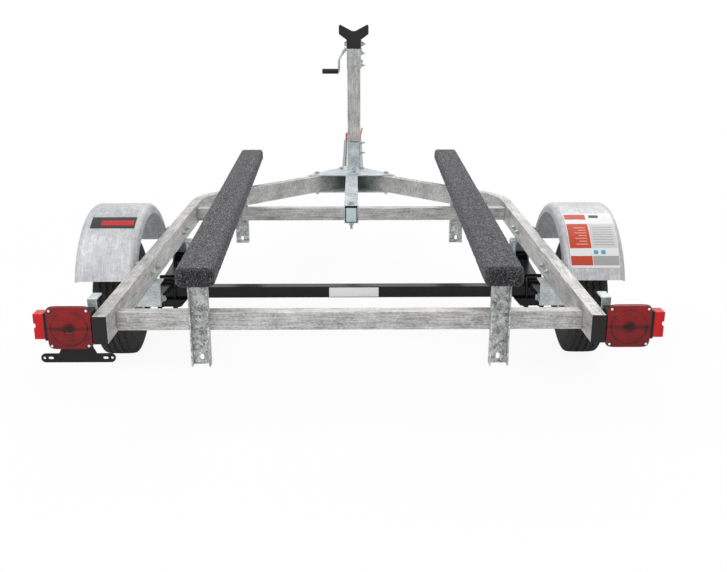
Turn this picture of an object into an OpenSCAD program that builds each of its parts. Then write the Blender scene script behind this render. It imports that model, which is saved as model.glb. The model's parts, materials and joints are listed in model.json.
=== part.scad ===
// Bunk trailer for a small boat: a two-rail aluminium frame that bends in to a steel tongue,
// a leaf-sprung axle, carpeted bunks, a winch post and a fold-down parking leg.
// +Y points forwards to the coupler, +X to the right, +Z up. The origin lies on the ground under
// the middle of the outside box. Stations along Y are counted from the rear end of the rails.

/* [Frame] */
// Width over the outside of the two side rails
frame_width = 1340; // [1110:10:1620]
// Length of the straight part of each side rail
rail_straight = 1500; // [1460:10:1900]
// Radius of the rails' bend, at the middle of the tube
bend_radius = 259; // [150:1:400]
// Width of the rail tube
rail_width = 38.1; // [30:0.1:50]
// Height of the rail tube
rail_height = 76.2; // [65:0.1:90]
// Wall of the rail tube
rail_wall = 3.2; // [2:0.1:5]
// Height of the frame's top face above the ground
deck_height = 416; // [380:1:500]
// Depth of each cross member along the trailer
beam_depth = 38; // [30:1:50]
// Height of each cross member
beam_height = 51; // [40:1:60]
// Station of the rear cross member's rear face
rear_beam_y = 93; // [80:1:160]
// Station of the front cross member's rear face
front_beam_y = 1400; // [1300:5:1440]

/* [Tongue] */
// Length of the tongue tube
tongue_length = 2165; // [1750:5:2700]
// Width of the tongue tube
tongue_width = 57; // [50:1:65]
// Wall of the tongue tube
tongue_wall = 3.5; // [2.5:0.1:6]
// Thickness of the two corner plates that tie the rails to the tongue
plate_thickness = 5; // [3:0.5:8]
// Length of the coupler past the front end of the tongue
coupler_reach = 190; // [160:5:240]
// Diameter of the towing ball that the coupler takes
ball_diameter = 50.8; // [47.6:0.1:60.3]

/* [Wheels and axle] */
// Outside diameter of each tyre
tyre_diameter = 414; // [370:2:440]
// Width of each tyre
tyre_width = 122; // [100:1:140]
// Diameter of the rim's bead seat
rim_diameter = 203; // [180:1:230]
// Station of the axle
axle_y = 846; // [700:2:1000]
// Distance from a rail's outer face to the tyre beside it
wheel_clearance = 81; // [76:1:120]
// Side of the square axle beam
axle_side = 40; // [35:1:50]
// Height of the middle of the axle beam over the wheel centres
axle_rise = 15; // [0:1:20]
// Diameter of each spindle
spindle_diameter = 25; // [20:1:30]
// Distance between the two eyes of a leaf spring
spring_span = 542; // [460:2:640]
// Width of the spring leaves
spring_width = 44.5; // [38:0.5:50]
// Thickness of one spring leaf
leaf_thickness = 7; // [5:0.5:9]

/* [Fenders] */
// Radius of the fender's outside
fender_radius = 306; // [270:1:340]
// Width of each fender
fender_width = 200; // [180:2:230]
// Distance from a rail's outer face to the fender beside it
fender_clearance = 24; // [22:1:60]
// Height of the fender ends above the ground
fender_end_height = 342; // [320:2:380]
// Depth of the rolled edge down each side of a fender
fender_lip = 35; // [20:1:50]
// Sheet thickness of the fenders
fender_sheet = 2.5; // [2:0.1:4]

/* [Bunks] */
// Length of each bunk
bunk_length = 2130; // [1800:10:2600]
// Width of each bunk
bunk_width = 105; // [90:1:140]
// Thickness of each bunk with its carpet
bunk_thickness = 55; // [40:1:70]
// Height of the underside of the bunks above the ground
bunk_height = 484; // [460:1:560]
// Distance from the trailer's middle to a bunk's centre line at the rear brackets
bunk_rear_x = 405; // [300:1:430]
// The same distance at the front brackets, on the left
left_bunk_front_x = 455; // [320:1:470]
// The same distance at the front brackets, on the right
right_bunk_front_x = 437; // [320:1:470]
// Station of the rear ends of the bunks
bunk_rear_y = 15; // [0:5:60]
// Width of a bunk bracket
bracket_width = 52; // [40:1:60]
// Depth of a bunk bracket's flanges
bracket_flange = 27; // [20:1:32]

/* [Winch post] */
// Height of the top of the post above the ground
post_top = 998; // [850:2:1150]
// Side of the square post
post_side = 63.5; // [50:0.5:76.5]
// Distance that the post stands to the right of the tongue's middle
post_offset = 12; // [0:1:15]
// Width over the two arms of the bow stop
stop_width = 144; // [110:2:180]
// Length of the winch crank from its shaft to its grip
crank_length = 104; // [90:1:160]
// Length of the grip on the crank
grip_length = 80; // [60:1:110]

/* [Lights] */
// Side of each square tail light
light_side = 116; // [100:1:130]
// Depth of a tail light's housing
housing_depth = 50; // [45:1:75]
// Height of a tail light's housing
housing_height = 80; // [74:1:96]
// Width of the number plate bracket
licence_width = 196; // [170:1:230]

/* [Parking leg] */
// Distance from the coupler's nose back to the leg
leg_setback = 820; // [600:5:900]
// Side of the leg's square tube
leg_side = 38; // [30:1:44]

/* [Hidden] */
$fn = 72;

aluminium = "lightgray";
galvanised = "silver";
black = "#1c1c1e";

// Clearance between pieces that are fitted together, and between a shaft and its bore
gap = 0.3;
running = 0.06;
over = 1;

rail_turn = 45;
rail_x = frame_width / 2 - rail_width / 2;
rail_inner = rail_x - rail_width / 2;
rail_outer = frame_width / 2;
frame_under = deck_height - rail_height;
corner_y = rail_straight + bend_radius * tan(rail_turn / 2);
apex_y = corner_y + rail_x;

rear_beam_z = deck_height - 21 - beam_height;
front_beam_z = deck_height - 13 - beam_height;
tongue_rear_y = front_beam_y - 5;
tongue_front_y = tongue_rear_y + tongue_length;
nose_y = tongue_front_y + coupler_reach;

wheel_r = tyre_diameter / 2;
wheel_x = rail_outer + wheel_clearance + tyre_width / 2;
axle_z = wheel_r + axle_rise;
spring_x = rail_x;
eye_z = frame_under - 59;
fender_z = wheel_r + 21;

light_rear_y = -5;
light_x = rail_outer + light_side / 2 + 2;
light_z = deck_height - 32;

post_y = apex_y + 22;
post_foot_z = deck_height + plate_thickness;
leg_y = nose_y - leg_setback;

// Moves a piece drawn in stations so that the outside box is centred on the origin.
module station() {
    translate([0, -(nose_y + light_rear_y) / 2, 0]) children();
}

// Moves a piece drawn about the winch post's middle to the post's place.
module post_station() {
    station() translate([post_offset, 0, 0]) children();
}

// Draws a piece made for the right-hand side, on the side asked for: 1 right, -1 left.
module on_side(side) {
    station() if (side > 0) children(); else mirror([1, 0, 0]) children();
}

// A block given by its low and high corners.
module block(low, high) {
    translate(low) cube(high - low);
}

// A flat bar with round ends, lying in XY, that runs along X.
module round_bar(length, width, thickness) {
    for (end = [-1, 1])
        translate([end * (length - width) / 2, 0, 0]) cylinder(d = width, h = thickness);
    translate([-(length - width) / 2, -width / 2, 0]) cube([length - width, width, thickness]);
}

// A square or rectangular tube along Y with its low corner at the given place.
module tube_y(low, size, wall) {
    translate(low) difference() {
        cube(size);
        translate([wall, -over, wall]) cube([size[0] - 2 * wall, size[1] + 2 * over, size[2] - 2 * wall]);
    }
}

// A rectangular tube along X between two low and high corners.
module tube_x(low, high, wall) {
    difference() {
        block(low, high);
        block(low + [-over, wall, wall], high + [over, -wall, -wall]);
    }
}

// A cylinder along X from x0 to x1.
module rod_x(x0, x1, r, y, z) {
    translate([x0, y, z]) rotate([0, 90, 0]) cylinder(r = r, h = x1 - x0);
}

// ---- Frame ----

// The space that a rail fills, or its hollow when inset is the wall: straight, bend, then oblique leg.
module rail_run(inset, rear) {
    w = rail_width - 2 * inset;
    h = rail_height - 2 * inset;
    oblique = rail_x / sin(rail_turn) + rail_width;
    block([rail_x - w / 2, rear, frame_under + inset],
          [rail_x + w / 2, rail_straight, deck_height - inset]);
    translate([rail_x - bend_radius, rail_straight, frame_under + rail_height / 2]) {
        rotate_extrude(angle = rail_turn) translate([bend_radius, 0]) square([w, h], center = true);
        rotate(rail_turn) translate([bend_radius - w / 2, 0, -h / 2]) cube([w, oblique, h]);
    }
}

module rail(side) {
    color(aluminium) on_side(side) difference() {
        rail_run(0, 0);
        rail_run(rail_wall, -over);
        block([-rail_x, corner_y, frame_under - over],
              [tongue_width / 2, apex_y + 4 * rail_width, deck_height + over]);
    }
}

module rail_cap(side) {
    plug = rail_wall + gap;
    color(black) on_side(side) {
        block([rail_inner, -3, frame_under], [rail_outer, 0, deck_height]);
        block([rail_inner + plug, 0, frame_under + plug], [rail_outer - plug, 18, deck_height - plug]);
    }
}

module cross_member(y, z) {
    color(aluminium) station()
        tube_x([-rail_inner, y, z], [rail_inner, y + beam_depth, z + beam_height], rail_wall);
}

// The front cross member passes through the rear end of the tongue.
module tongue() {
    color(galvanised) station() difference() {
        tube_y([-tongue_width / 2, tongue_rear_y, frame_under],
               [tongue_width, tongue_length, rail_height], tongue_wall);
        block([-tongue_width, front_beam_y - gap, front_beam_z - gap],
              [tongue_width, front_beam_y + beam_depth + gap, front_beam_z + beam_height + gap]);
    }
}

// Corner plate over the rails' ends: as wide as the rails at its rear edge, with a tab ahead.
module corner_plate(z, tab_y, tab_half) {
    rear = apex_y - 179;
    front = apex_y + 41;
    rear_half = 179 + rail_width / 2 / cos(rail_turn) + 4;
    front_half = tongue_width / 2 + 32;
    color(galvanised) station() translate([0, 0, z]) linear_extrude(plate_thickness)
        polygon([[-rear_half, rear], [rear_half, rear], [rear_half - 12, rear + 30],
                 [front_half, front], [tab_half, front], [tab_half, tab_y],
                 [-tab_half, tab_y], [-tab_half, front], [-front_half, front],
                 [-rear_half + 12, rear + 30]]);
}

// ---- Coupler and parking leg ----

coupler_wall = 4;
socket_r = ball_diameter / 2 + 0.5;
housing_r = socket_r + 18;
ball_y = nose_y - housing_r;
socket_mouth_z = deck_height - 60;
socket_depth = 28;

module coupler() {
    half = tongue_width / 2 + coupler_wall;
    top = deck_height + coupler_wall;
    sleeve_rear = tongue_front_y - 100;
    color(galvanised) station() difference() {
        union() {
            block([-half, sleeve_rear, socket_mouth_z], [half, ball_y, top]);
            translate([0, ball_y, socket_mouth_z]) cylinder(r = housing_r, h = top - 12 - socket_mouth_z);
            translate([0, ball_y, top - 12]) cylinder(r1 = housing_r, r2 = housing_r - 12, h = 12);
        }
        block([-tongue_width / 2, sleeve_rear - over, frame_under - over],
              [tongue_width / 2, ball_y - housing_r + 4, deck_height]);
        translate([0, ball_y, socket_mouth_z - over]) cylinder(r = socket_r, h = socket_depth + over);
        translate([0, ball_y, socket_mouth_z + socket_depth]) sphere(r = socket_r);
    }
}

// Lever that lies along the top of the coupler, with its grip turned up at the rear.
module coupler_latch() {
    top = deck_height + coupler_wall;
    rear = tongue_front_y - 40;
    color(galvanised) station() {
        block([-15, rear, top], [15, ball_y - 18, top + 6]);
        translate([0, ball_y - 18, top]) cylinder(r = 15, h = 6);
        block([-15, rear - 6, top], [15, rear, top + 34]);
    }
}

pivot_r = 6;
leg_pivot_z = frame_under - 30;
foot_thickness = 5;
ear_thickness = 5;

module leg_bracket() {
    inside = leg_side / 2 + 1;
    outside = inside + ear_thickness;
    color(galvanised) station() {
        block([-outside, leg_y - 28, frame_under - ear_thickness], [outside, leg_y + 28, frame_under]);
        for (low = [-outside, inside]) {
            rod_x(low, low + ear_thickness, 20, leg_y, leg_pivot_z);
            block([low, leg_y - 20, leg_pivot_z], [low + ear_thickness, leg_y + 20, frame_under]);
        }
        rod_x(-outside - 4, outside + 4, pivot_r, leg_y, leg_pivot_z);
    }
}

module parking_leg() {
    h = leg_side / 2;
    hollow = h - 3;
    color(galvanised) station() difference() {
        block([-h, leg_y - h, foot_thickness], [h, leg_y + h, leg_pivot_z + 12]);
        block([-hollow, leg_y - hollow, foot_thickness - over],
              [hollow, leg_y + hollow, leg_pivot_z + 12 + over]);
        rod_x(-2 * h, 2 * h, pivot_r + running, leg_y, leg_pivot_z);
    }
}

module parking_foot() {
    color(galvanised) station()
        block([-leg_side / 2 - 18, leg_y - leg_side / 2 - 3, 0],
              [leg_side / 2 + 18, leg_y + leg_side / 2 + 38, foot_thickness]);
}

// ---- Axle, springs and wheels ----

beam_end_x = wheel_x - 84;
hub_cap_x = wheel_x + 40;

module axle() {
    h = axle_side / 2;
    color(black) station() {
        tube_x([-beam_end_x + 30, axle_y - h, axle_z - h], [beam_end_x - 30, axle_y + h, axle_z + h], 4);
        for (side = [-1, 1]) {
            translate([side * (beam_end_x - 15), axle_y, axle_z])
                cube([30, axle_side, axle_side], center = true);
            rod_x(side > 0 ? beam_end_x : -wheel_x - 22, side > 0 ? wheel_x + 22 : -beam_end_x,
                  spindle_diameter / 2, axle_y, wheel_r);
        }
    }
}

leaf_count = 3;
pin_r = 7;
eye_r = 13;
spring_seat_z = axle_z + axle_side / 2;
// The main leaf's middle line drops by this much between its eyes and the axle
camber = eye_z - eye_r + 2 + leaf_thickness / 2 - (spring_seat_z + (leaf_count - 0.5) * leaf_thickness);
spring_r = (pow(spring_span / 2, 2) + camber * camber) / (2 * camber);

// Height of a leaf's middle line over the wheel centres' level, at a distance from the axle.
function leaf_z(i, y) = spring_seat_z + (leaf_count - 0.5 - i) * leaf_thickness
    + spring_r - sqrt(spring_r * spring_r - y * y);

// Side outline of one leaf as a list of points, from end to end and back.
function leaf_outline(i) =
    let (reach = (1 - 0.3 * i) * spring_span / 2, half = leaf_thickness / 2 - gap / 2,
         steps = [for (k = [-6 : 6]) k / 6 * reach])
    concat([for (y = steps) [y, leaf_z(i, y) + half]], [for (y = reversed(steps)) [y, leaf_z(i, y) - half]]);

function reversed(list) = [for (i = [len(list) - 1 : -1 : 0]) list[i]];

// Main leaf with a rolled eye at each end, and shorter leaves nested under it.
module leaf_spring(side) {
    low = spring_x - spring_width / 2;
    high = spring_x + spring_width / 2;
    color(black) on_side(side) difference() {
        union() {
            for (i = [0 : leaf_count - 1])
                translate([low, axle_y, 0]) rotate([90, 0, 90]) linear_extrude(spring_width)
                    polygon(leaf_outline(i));
            for (end = [-1, 1]) rod_x(low, high, eye_r, axle_y + end * spring_span / 2, eye_z);
        }
        for (end = [-1, 1])
            rod_x(low - over, high + over, pin_r + gap, axle_y + end * spring_span / 2, eye_z);
    }
}

// A hanger under the rail at each spring eye: top plate, cross plate on the far side and two cheeks.
module hangers(side) {
    half = 40;
    sheet = 5;
    cheek = spring_width / 2 + 1;
    color(galvanised) on_side(side) for (end = [-1, 1]) translate([spring_x, axle_y + end * spring_span / 2, 0]) {
        block([-half, -30, frame_under - sheet], [half, 30, frame_under]);
        translate([0, end * (30 - sheet / 2), 0])
            block([-half, -sheet / 2, eye_z - 18], [half, sheet / 2, frame_under]);
        for (low = [-cheek - sheet, cheek])
            block([low, -28, eye_z - 18], [low + sheet, 28, frame_under]);
        rod_x(-cheek - 14, cheek + 14, pin_r, 0, eye_z);
    }
}

// Plate under the axle beam and the two U-bolts that clamp the spring to the beam.
module axle_clamp(side) {
    bolt_r = 5;
    leg_x = spring_width / 2 + bolt_r + gap;
    leg_out = axle_side / 2 + bolt_r + gap;
    plate_top = axle_z - axle_side / 2;
    plate_low = plate_top - 26;
    saddle_z = spring_seat_z + leaf_count * leaf_thickness + bolt_r + 1;
    color(black) on_side(side) translate([spring_x, axle_y, 0]) {
        translate([0, 40, 0]) rotate([90, 0, 0]) linear_extrude(80)
            polygon([[-51, plate_low], [51, plate_low], [74, plate_top], [-74, plate_top]]);
        for (y = [-leg_out, leg_out]) {
            for (x = [-leg_x, leg_x])
                translate([x, y, plate_low - 22]) cylinder(r = bolt_r, h = saddle_z - plate_low + 22);
            rod_x(-leg_x, leg_x, bolt_r, y, saddle_z);
            for (x = [-leg_x, leg_x]) translate([x, y, saddle_z]) sphere(r = bolt_r);
        }
    }
}

hub_r = 32;

// Draws a shape turned about X at the middle of a wheel; the profile is [radius, distance outboard].
module turned_wheel(side) {
    on_side(side) translate([wheel_x, axle_y, wheel_r]) rotate([90, 0, 90])
        rotate_extrude($fn = 120) children();
}

module hub(side) {
    bore = spindle_diameter / 2 + running;
    color(galvanised) turned_wheel(side) polygon([
        [bore, -60], [hub_r, -60], [hub_r, -4], [68, -4], [68, 6], [hub_r, 6], [hub_r - 4, 30],
        [hub_r - 7, 40], [0, 40], [0, 26], [bore, 26]]);
}

rim_r = rim_diameter / 2;
flange_r = rim_r + 11;

// Pressed rim: a disc on the hub's flange, a conical wall out to the barrel, and two bead flanges.
module rim(side) {
    color(galvanised) turned_wheel(side) polygon([
        [hub_r + gap, 6], [74, 6], [rim_r - 4, -14], [rim_r - 4, -48], [flange_r - 2, -52],
        [flange_r, -49], [rim_r, -44], [rim_r, 44], [flange_r, 49], [flange_r - 2, 52], [rim_r - 4, 48],
        [rim_r - 4, -9], [76, 10.5], [hub_r + gap, 10.5]]);
}

// Tyre from bead to bead, with its sidewalls bulging to the full width below a flat tread.
module tyre(side) {
    bead = rim_r + gap;
    half = tyre_width / 2;
    height = wheel_r - bead;
    sidewall = [for (step = [0 : 8]) let (a = 180 * step / 8)
        [bead + height * (0.14 + 0.62 * (1 - cos(a)) / 2), half * (0.78 + 0.22 * sin(a))]];
    side_points = concat([[bead, 43]], sidewall, [[wheel_r - 5, half * 0.76], [wheel_r, half * 0.6]]);
    color("#202022") turned_wheel(side) polygon(concat(side_points,
        [for (i = [len(side_points) - 1 : -1 : 0]) [side_points[i][0], -side_points[i][1]]]));
}

// ---- Fenders ----

fender_x = rail_outer + fender_clearance + fender_width / 2;
fender_end = asin((fender_end_height - fender_z) / fender_radius);

// Section of the rolled sheet, [radius, distance across], a given distance inside its outer face.
function fender_outline(inset, low) =
    let (corner = 24 - inset, top = fender_radius - inset, half = fender_width / 2 - inset)
    concat([[low, -half]],
           [for (a = [0 : 15 : 90]) [top - corner * (1 - sin(a)), -half + corner * (1 - cos(a))]],
           [for (a = [90 : -15 : 0]) [top - corner * (1 - sin(a)), half - corner * (1 - cos(a))]],
           [[low, half]]);

module fender(side) {
    low = fender_radius - fender_lip;
    color("#c9cccf") on_side(side) translate([fender_x, axle_y, fender_z]) rotate([90, 0, 90])
        rotate(fender_end) rotate_extrude(angle = 180 - 2 * fender_end, $fn = 120)
            polygon(concat(fender_outline(0, low), reversed(fender_outline(fender_sheet, low))));
}

// Folded straps from the rail's outer face to the inboard rolled edge, one near each end of the fender.
module fender_brackets(side) {
    sheet = 5;
    low = frame_under + 20;
    high = low + 36;
    inboard = fender_x - fender_width / 2;
    middle_r = fender_radius - fender_lip / 2;
    reach = sqrt(pow(middle_r, 2) - pow((low + high) / 2 - fender_z, 2));
    color(galvanised) on_side(side) for (end = [-1, 1]) translate([0, axle_y + end * reach, 0]) {
        block([rail_outer, -45, low], [rail_outer + sheet, 45, high]);
        block([rail_outer, -sheet / 2, low], [inboard, sheet / 2, high]);
        block([inboard - sheet, -18, low], [inboard, 18, high]);
    }
}

// ---- Bunks ----

bracket_sheet = 4;
bracket_low = frame_under - 92;
front_seat_y = front_beam_y + beam_depth;

// How far the bunk on one side stands from the middle at the front brackets, and how far it turns out.
function bunk_front_x(side) = side > 0 ? right_bunk_front_x : left_bunk_front_x;
function bunk_turn(side) = atan((bunk_front_x(side) - bunk_rear_x) / (front_seat_y - rear_beam_y));

module bunk(side) {
    color("#55565a") on_side(side)
        translate([bunk_rear_x, rear_beam_y, bunk_height]) rotate(-bunk_turn(side))
            translate([-bunk_width / 2, bunk_rear_y - rear_beam_y, 0])
                cube([bunk_width, bunk_length, bunk_thickness]);
}

// Channel with its web on the beam's face and its flanges turned away from the beam.
module bunk_bracket(side, x, seat_y, away) {
    half = bracket_width / 2;
    height = bunk_height - bracket_low;
    color(galvanised) on_side(side) translate([x, seat_y, bracket_low])
        mirror([0, away > 0 ? 0 : 1, 0]) difference() {
            union() {
                translate([-half, 0, 0]) cube([bracket_width, bracket_sheet, height]);
                for (low = [-half, half - bracket_sheet])
                    translate([low, 0, 0]) cube([bracket_sheet, bracket_flange, height]);
            }
            translate([0, -over, height - 21]) rotate([-90, 0, 0])
                cylinder(r = 9, h = bracket_sheet + 2 * over);
            translate([0, bracket_sheet + over, 21]) rotate([90, 0, 0]) rotate(90)
                round_bar(17, 11, bracket_sheet + 2 * over);
        }
}

// ---- Winch post ----

post_front_y = post_y + post_side;
post_half = post_side / 2;

module winch_post() {
    color(aluminium) post_station() difference() {
        block([-post_half, post_y, post_foot_z], [post_half, post_front_y, post_top]);
        block([-post_half + rail_wall, post_y + rail_wall, post_foot_z - over],
              [post_half - rail_wall, post_front_y - rail_wall, post_top + over]);
    }
}

// Angle that ties the foot of the post to the upper corner plate.
module post_foot_bracket() {
    sheet = 5;
    half = 25.5;
    color(galvanised) post_station() {
        block([-half, post_y - sheet, post_foot_z], [half, post_y, post_foot_z + 130]);
        block([-half, apex_y - 170, post_foot_z], [half, post_y, post_foot_z + sheet]);
    }
}

crank_z = post_top - 4;
crank_y = post_front_y + 45;
drum_z = crank_z - 55;
drum_y = crank_y + 24;
shaft_r = 8;
gear_distance = sqrt(pow(crank_z - drum_z, 2) + pow(drum_y - crank_y, 2));
pinion_r = gear_distance / 5;
gear_r = gear_distance - pinion_r;
frame_sheet = 3;

// Two side plates that grip the post and carry the shafts ahead of it, with a web between them.
module winch_frame() {
    inside = post_half;
    color(galvanised) post_station() difference() {
        union() {
            for (low = [-inside - frame_sheet, inside]) {
                block([low, post_y, crank_z - 88], [low + frame_sheet, drum_y + 20, crank_z - 8]);
                rod_x(low, low + frame_sheet, 14, crank_y, crank_z);
                block([low, crank_y - 14, crank_z - 20], [low + frame_sheet, crank_y + 14, crank_z]);
            }
            block([-inside, post_front_y, crank_z - 88], [inside, post_front_y + frame_sheet, crank_z - 8]);
            rod_x(-inside - frame_sheet - 1, inside + frame_sheet + 8, shaft_r, drum_y, drum_z);
        }
        rod_x(-inside - frame_sheet - over, inside + frame_sheet + over, shaft_r + running,
              crank_y, crank_z);
    }
}

// Drum with a plain flange on the left and the toothed wheel, as its pitch disc, on the right.
module winch_drum() {
    half = post_half - 5.5;
    color(galvanised) post_station() difference() {
        union() {
            rod_x(-half, half, 18, drum_y, drum_z);
            rod_x(-half, -half + 3, gear_r - 2, drum_y, drum_z);
            rod_x(half - 8, half, gear_r - gap, drum_y, drum_z);
        }
        rod_x(-half - over, half + over, shaft_r + running, drum_y, drum_z);
    }
}

module winch_strap() {
    half = post_half - 5.5;
    color("#2b2b2e") post_station() difference() {
        rod_x(-half + 4, half - 10, 36, drum_y, drum_z);
        rod_x(-half, half, 18 + gap, drum_y, drum_z);
    }
}

arm_x = stop_width / 2 + 2;
arm_width = 18;
arm_sheet = 5;
hub_low = post_half + frame_sheet + 5.5;

// Shaft with its pinion, a hub outside the left plate, and an arm cranked outwards down to the grip.
module winch_crank() {
    drop = 50;
    color(galvanised) post_station() {
        rod_x(-hub_low - 8, post_half + frame_sheet + 6, shaft_r, crank_y, crank_z);
        rod_x(post_half - 13.5, post_half - 5.5, pinion_r - gap, crank_y, crank_z);
        rod_x(-hub_low - 8, -hub_low, 12, crank_y, crank_z);
        translate([0, crank_y + arm_width / 2, crank_z]) rotate([90, 0, 0]) linear_extrude(arm_width)
            polygon([[-hub_low, 11], [-hub_low - arm_sheet, 11], [-hub_low - arm_sheet, -8],
                     [-arm_x - arm_sheet / 2, -drop], [-arm_x - arm_sheet / 2, -crank_length - 9],
                     [-arm_x + arm_sheet / 2, -crank_length - 9], [-arm_x + arm_sheet / 2, -drop],
                     [-hub_low, -8]]);
        rod_x(-arm_x - grip_length, -arm_x, 5, crank_y, crank_z - crank_length);
    }
}

module crank_grip() {
    color(black) post_station() difference() {
        rod_x(-arm_x - arm_sheet / 2 - 1 - grip_length, -arm_x - arm_sheet / 2 - 1, 12.5,
              crank_y, crank_z - crank_length);
        rod_x(-arm_x - grip_length - gap, -arm_x, 5 + running, crank_y, crank_z - crank_length);
    }
}

neck_half = 33.5;

module bow_stop_bracket() {
    outside = neck_half + gap + 3;
    color(galvanised) post_station() {
        block([-outside, post_y, post_top], [outside, post_front_y, post_top + 4]);
        for (low = [-outside, outside - 3])
            block([low, post_y + 12, post_top], [low + 3, post_front_y - 12, post_top + 44]);
    }
}

// Rubber block with two rising arms and a shallow notch between them.
module bow_stop() {
    half = stop_width / 2;
    base = post_top + 4 + gap;
    color(black) post_station() translate([0, post_front_y - 2, 0]) rotate([90, 0, 0])
        linear_extrude(post_side - 4) polygon([
            [-neck_half, base], [neck_half, base], [neck_half, post_top + 45], [half, post_top + 73],
            [half, post_top + 113], [half - 6, post_top + 117], [8, post_top + 87],
            [-8, post_top + 87], [-half + 6, post_top + 117], [-half, post_top + 113],
            [-half, post_top + 73], [-neck_half, post_top + 45]]);
}

// ---- Lights ----

lens_depth = 12;
housing_rear_y = light_rear_y + lens_depth;
housing_front_y = housing_rear_y + housing_depth;
housing_half = light_side / 2 - 3;
housing_low = light_z - housing_height / 2;
housing_high = light_z + housing_height / 2;
marker_x = light_x + light_side / 2 + 11;
marker_width = 28;
marker_half = 35;

// Angle that carries the light on the rail's outer face and stands up beside the rail.
module light_bracket(side) {
    sheet = 5;
    rear = housing_front_y;
    low = light_z - 34;
    color(galvanised) on_side(side) {
        block([rail_outer, rear, low], [light_x + 30, rear + sheet, light_z + 30]);
        block([rail_outer, rear, low], [rail_outer + sheet, rear + 100, light_z + 26]);
        block([rail_outer, rear, low], [rail_outer + 25, rear + sheet, deck_height + 30]);
        block([rail_outer, rear, deck_height + 30 - sheet], [rail_outer + 25, rear + 55, deck_height + 30]);
    }
}

// Box behind the lens, with the side marker's base on its outboard face.
module light_housing(side) {
    color(black) on_side(side) {
        block([light_x - housing_half, housing_rear_y, housing_low],
              [light_x + housing_half, housing_front_y, housing_high]);
        block([light_x, housing_rear_y + 3, light_z - marker_half - 3],
              [marker_x, housing_front_y - 3, light_z + marker_half + 3]);
    }
}

// Lens plate with rounded corners and a low round dome.
module light_lens(side) {
    half = light_side / 2;
    corner = 12;
    color("#b3141a") on_side(side) translate([light_x, light_rear_y, light_z]) rotate([-90, 0, 0]) {
        for (x = [-1, 1], z = [-1, 1])
            translate([x * (half - corner), z * (half - corner), 2]) cylinder(r = corner, h = lens_depth - 2);
        translate([-half + corner, -half, 2]) cube([2 * (half - corner), 2 * half, lens_depth - 2]);
        translate([-half, -half + corner, 2]) cube([2 * half, 2 * (half - corner), lens_depth - 2]);
        cylinder(r1 = half - 14, r2 = half - 6, h = 3);
    }
}

module side_marker(side) {
    color("#d21f26") on_side(side) difference() {
        block([marker_x, housing_rear_y + 6, light_z - marker_half],
              [marker_x + marker_width, housing_front_y - 6, light_z + marker_half]);
        block([marker_x + marker_width - 5, housing_rear_y, light_z - 4],
              [marker_x + marker_width + over, housing_front_y, light_z + 8]);
    }
}

licence_x = light_x - 14;
licence_drop = 58;
licence_hole_spacing = 177.8;

// Plate under the left light with a tab and a flange up to the housing, and holes for a number plate.
module licence_bracket() {
    sheet = 3;
    height = 25;
    top = housing_low;
    low = top - licence_drop;
    plate_y = housing_rear_y + 1;
    color(black) on_side(-1) {
        translate([licence_x, plate_y + sheet, low + height / 2]) rotate([90, 0, 0]) difference() {
            union() {
                round_bar(licence_width, height, sheet);
                linear_extrude(sheet) polygon([[-50, 0], [50, 0], [50, 12], [34, top - low - height / 2],
                                               [-34, top - low - height / 2], [-50, 12]]);
            }
            for (end = [-1, 1]) {
                translate([end * licence_hole_spacing / 2, 0, -over]) cylinder(r = 3.5, h = sheet + 2 * over);
                translate([end * 72, 0, -over]) round_bar(14, 7, sheet + 2 * over);
            }
        }
        block([licence_x - 20, plate_y, top - sheet], [licence_x + 34, plate_y + 44, top]);
    }
}

rail(-1);  // left_rail
rail(1);  // right_rail
rail_cap(-1);  // left_rail_cap
rail_cap(1);  // right_rail_cap
cross_member(rear_beam_y, rear_beam_z);  // rear_cross_member
cross_member(front_beam_y, front_beam_z);  // front_cross_member
tongue();
corner_plate(deck_height, post_y + post_side, post_offset + post_side / 2);  // upper_corner_plate
corner_plate(frame_under - plate_thickness, apex_y + 42, tongue_width / 2);  // lower_corner_plate
coupler();
coupler_latch();
leg_bracket();
parking_leg();
parking_foot();
axle();
leaf_spring(-1);  // left_spring
leaf_spring(1);  // right_spring
hangers(-1);  // left_hangers
hangers(1);  // right_hangers
axle_clamp(-1);  // left_axle_clamp
axle_clamp(1);  // right_axle_clamp
hub(-1);  // left_hub
hub(1);  // right_hub
rim(-1);  // left_rim
rim(1);  // right_rim
tyre(-1);  // left_tyre
tyre(1);  // right_tyre
fender(-1);  // left_fender
fender(1);  // right_fender
fender_brackets(-1);  // left_fender_brackets
fender_brackets(1);  // right_fender_brackets
bunk(-1);  // left_bunk
bunk(1);  // right_bunk
bunk_bracket(-1, bunk_rear_x, rear_beam_y, -1);  // rear_left_bunk_bracket
bunk_bracket(1, bunk_rear_x, rear_beam_y, -1);  // rear_right_bunk_bracket
bunk_bracket(-1, bunk_front_x(-1), front_seat_y, 1);  // front_left_bunk_bracket
bunk_bracket(1, bunk_front_x(1), front_seat_y, 1);  // front_right_bunk_bracket
winch_post();
post_foot_bracket();
winch_frame();
winch_drum();
winch_strap();
winch_crank();
crank_grip();
bow_stop_bracket();
bow_stop();
light_bracket(-1);  // left_light_bracket
light_bracket(1);  // right_light_bracket
light_housing(-1);  // left_light_housing
light_housing(1);  // right_light_housing
light_lens(-1);  // left_light_lens
light_lens(1);  // right_light_lens
side_marker(-1);  // left_side_marker
side_marker(1);  // right_side_marker
licence_bracket();
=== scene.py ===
"""Looks of the boat trailer: materials, rounded tubes, tyres, carpet, lights, fasteners and chains."""
import json
import math

import bmesh
import bpy
from mathutils import Matrix, Vector, noise


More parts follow.
